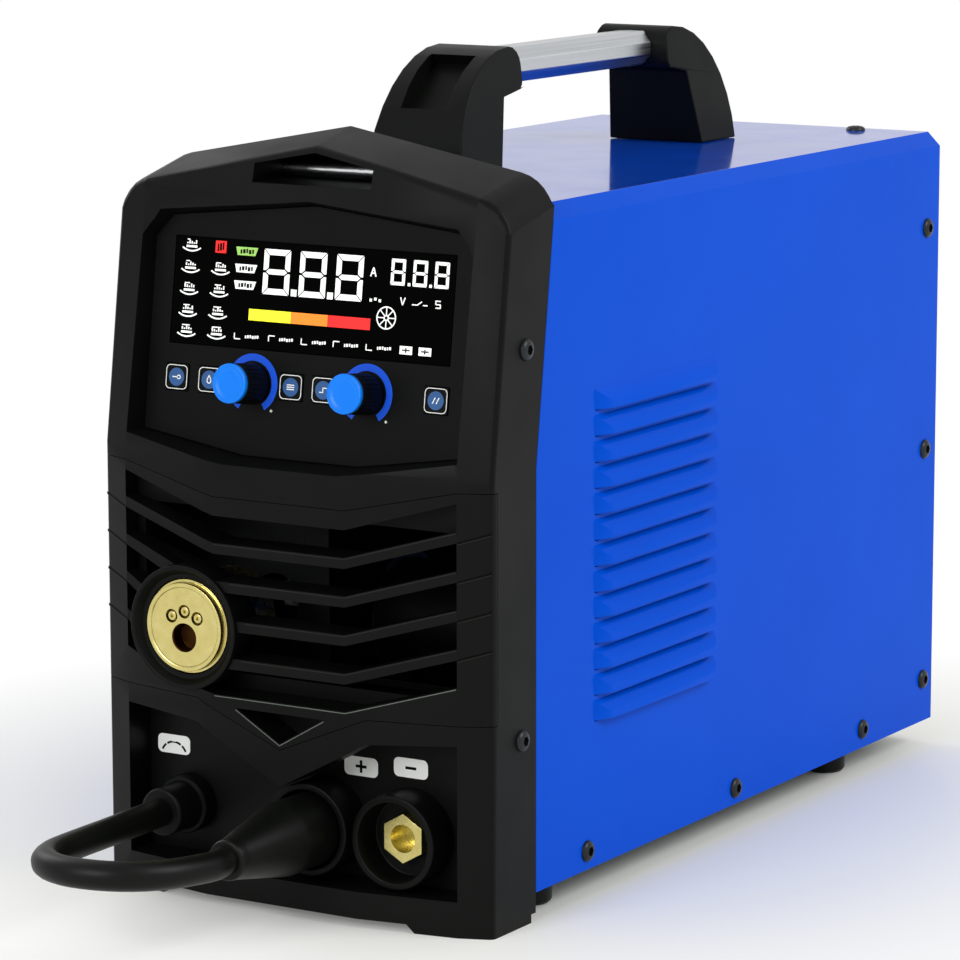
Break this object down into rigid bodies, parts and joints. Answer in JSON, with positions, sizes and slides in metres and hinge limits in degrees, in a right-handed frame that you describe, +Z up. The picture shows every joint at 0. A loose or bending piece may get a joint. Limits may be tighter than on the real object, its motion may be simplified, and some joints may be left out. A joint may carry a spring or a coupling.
{
  "type": "mig welding machine",
  "caption": "Portable inverter wire-feed welder: steel case with louvres, moulded black front with display, knobs, grille and torch connector, carrying handle, wire door.",
  "frame": {"origin": "on the floor under the middle of the machine", "axes": "+X to the machine's right as seen from the front, +Y from the front towards the rear, +Z up"},
  "size_m": [0.2213, 0.615, 0.3857],
  "materials": {
    "case_blue": "gloss powder coat",
    "moulded_black": "fine grain",
    "panel_black": "satin",
    "display_black": "polished",
    "knob_blue": "satin",
    "rear_black": "matt powder coat",
    "rubber_black": "matt",
    "brass": "turned",
    "aluminium": "satin anodised",
    "galvanised": "zinc plated",
    "wire_copper": "copper coated",
    "board_green": "lacquered",
    "inner_grey": "fine grain",
    "core_grey": "varnished",
    "switch_red": "polished"
  },
  "bodies": {
    "case": {"front_bezel": "moulded_black", "front_grille": "moulded_black", "grip_bar": "aluminium", "control_panel": "panel_black", "display_window": "display_black", "control_board": "board_green", "front_frame": "rear_black", "case_cover": "case_blue", "door_hinge": "rear_black", "base_tray": "galvanised", "rear_panel": "rear_black", "fan_guard": "moulded_black", "fan_frame": "inner_grey", "power_switch_frame": "moulded_black", "mains_gland": "moulded_black", "gas_inlet": "brass", "divider_panel": "galvanised", "spool_hub": "inner_grey", "feed_plate": "aluminium", "feed_motor": "galvanised", "euro_collar": "moulded_black", "euro_connector": "brass", "socket_minus": "moulded_black", "socket_plus": "moulded_black", "brass_minus": "brass", "brass_plus": "brass", "cable_gland": "moulded_black", "polarity_cable": "rubber_black", "polarity_plug": "rubber_black", "handle_post_front": "moulded_black", "handle_post_rear": "moulded_black", "handle_tube": "aluminium", "rubber_foot_front_left": "rubber_black", "rubber_foot_front_right": "rubber_black", "rubber_foot_rear_left": "rubber_black", "rubber_foot_rear_right": "rubber_black", "heat_sink": "aluminium", "inverter_board": "board_green", "transformer": "core_grey"},
    "knob_left": {"knob_left": "moulded_black", "knob_cap_left": "knob_blue"},
    "knob_right": {"knob_right": "moulded_black", "knob_cap_right": "knob_blue"},
    "button_1": {"button_1": "panel_black"},
    "button_2": {"button_2": "panel_black"},
    "button_3": {"button_3": "panel_black"},
    "button_4": {"button_4": "panel_black"},
    "button_5": {"button_5": "panel_black"},
    "door": {"side_door": "case_blue"},
    "latch_upper": {"latch_upper": "moulded_black"},
    "latch_lower": {"latch_lower": "moulded_black"},
    "spool": {"wire_spool": "moulded_black", "wire_winding": "wire_copper"},
    "spool_nut": {"spool_nut": "moulded_black"},
    "drive_roll": {"drive_roll": "galvanised"},
    "pressure_arm": {"pressure_arm": "moulded_black"},
    "idler_roll": {"idler_roll": "galvanised"},
    "tension_knob": {"tension_knob": "moulded_black"},
    "fan_rotor": {"fan_rotor": "moulded_black"},
    "rocker": {"power_switch_rocker": "switch_red"}
  },
  "joints": [
    {"name": "knob_left_turn", "type": "hinge", "parent": "case", "child": "knob_left", "pos_m": [-0.0285, -0.22102, 0.24021], "axis": [0, -0.9907, 0.1357], "range_deg": [-140, 140]},
    {"name": "knob_right_turn", "type": "hinge", "parent": "case", "child": "knob_right", "pos_m": [0.0333, -0.22102, 0.24021], "axis": [0, -0.9907, 0.1357], "range_deg": [-140, 140]},
    {"name": "button_1_press", "type": "slide", "parent": "case", "child": "button_1", "axis": [0, 0.9907, -0.1357], "range_m": [0, 0.0008], "stiffness_N_per_m": 1200},
    {"name": "button_2_press", "type": "slide", "parent": "case", "child": "button_2", "axis": [0, 0.9907, -0.1357], "range_m": [0, 0.0008], "stiffness_N_per_m": 1200},
    {"name": "button_3_press", "type": "slide", "parent": "case", "child": "button_3", "axis": [0, 0.9907, -0.1357], "range_m": [0, 0.0008], "stiffness_N_per_m": 1200},
    {"name": "button_4_press", "type": "slide", "parent": "case", "child": "button_4", "axis": [0, 0.9907, -0.1357], "range_m": [0, 0.0008], "stiffness_N_per_m": 1200},
    {"name": "button_5_press", "type": "slide", "parent": "case", "child": "button_5", "axis": [0, 0.9907, -0.1357], "range_m": [0, 0.0008], "stiffness_N_per_m": 1200},
    {"name": "door_swing", "type": "hinge", "parent": "case", "child": "door", "pos_m": [-0.1083, 0.1977, 0.15], "axis": [0, 0, -1], "range_deg": [0, 110]},
    {"name": "latch_lower_turn", "type": "hinge", "parent": "door", "child": "latch_lower", "pos_m": [-0.105, -0.175, 0.0733], "axis": [-1, 0, 0], "range_deg": [0, 90]},
    {"name": "latch_upper_turn", "type": "hinge", "parent": "door", "child": "latch_upper", "pos_m": [-0.105, -0.175, 0.2283], "axis": [-1, 0, 0], "range_deg": [0, 90]},
    {"name": "spool_spin", "type": "hinge", "parent": "case", "child": "spool", "pos_m": [-0.058, 0.0977, 0.1668], "axis": [1, 0, 0], "continuous": true},
    {"name": "spool_nut_turn", "type": "hinge", "parent": "case", "child": "spool_nut", "pos_m": [-0.09, 0.0977, 0.1668], "axis": [-1, 0, 0], "continuous": true},
    {"name": "drive_roll_spin", "type": "hinge", "parent": "case", "child": "drive_roll", "pos_m": [-0.052, -0.099, 0.112], "axis": [1, 0, 0], "continuous": true},
    {"name": "pressure_arm_lift", "type": "hinge", "parent": "case", "child": "pressure_arm", "pos_m": [-0.061, -0.061, 0.1432], "axis": [-1, 0, 0], "range_deg": [0, 60]},
    {"name": "idler_roll_spin", "type": "hinge", "parent": "pressure_arm", "child": "idler_roll", "pos_m": [-0.052, -0.099, 0.1432], "axis": [1, 0, 0], "continuous": true},
    {"name": "tension_knob_turn", "type": "hinge", "parent": "pressure_arm", "child": "tension_knob", "pos_m": [-0.052, -0.121, 0.1572], "axis": [0, 0, 1], "range_deg": [-180, 180]},
    {"name": "fan_spin", "type": "hinge", "parent": "case", "child": "fan_rotor", "pos_m": [0.04, 0.2057, 0.19], "axis": [0, 1, 0], "continuous": true},
    {"name": "rocker_tilt", "type": "hinge", "parent": "case", "child": "rocker", "pos_m": [-0.06, 0.2215, 0.272], "axis": [-1, 0, 0], "range_deg": [0, 18]}
  ]
}
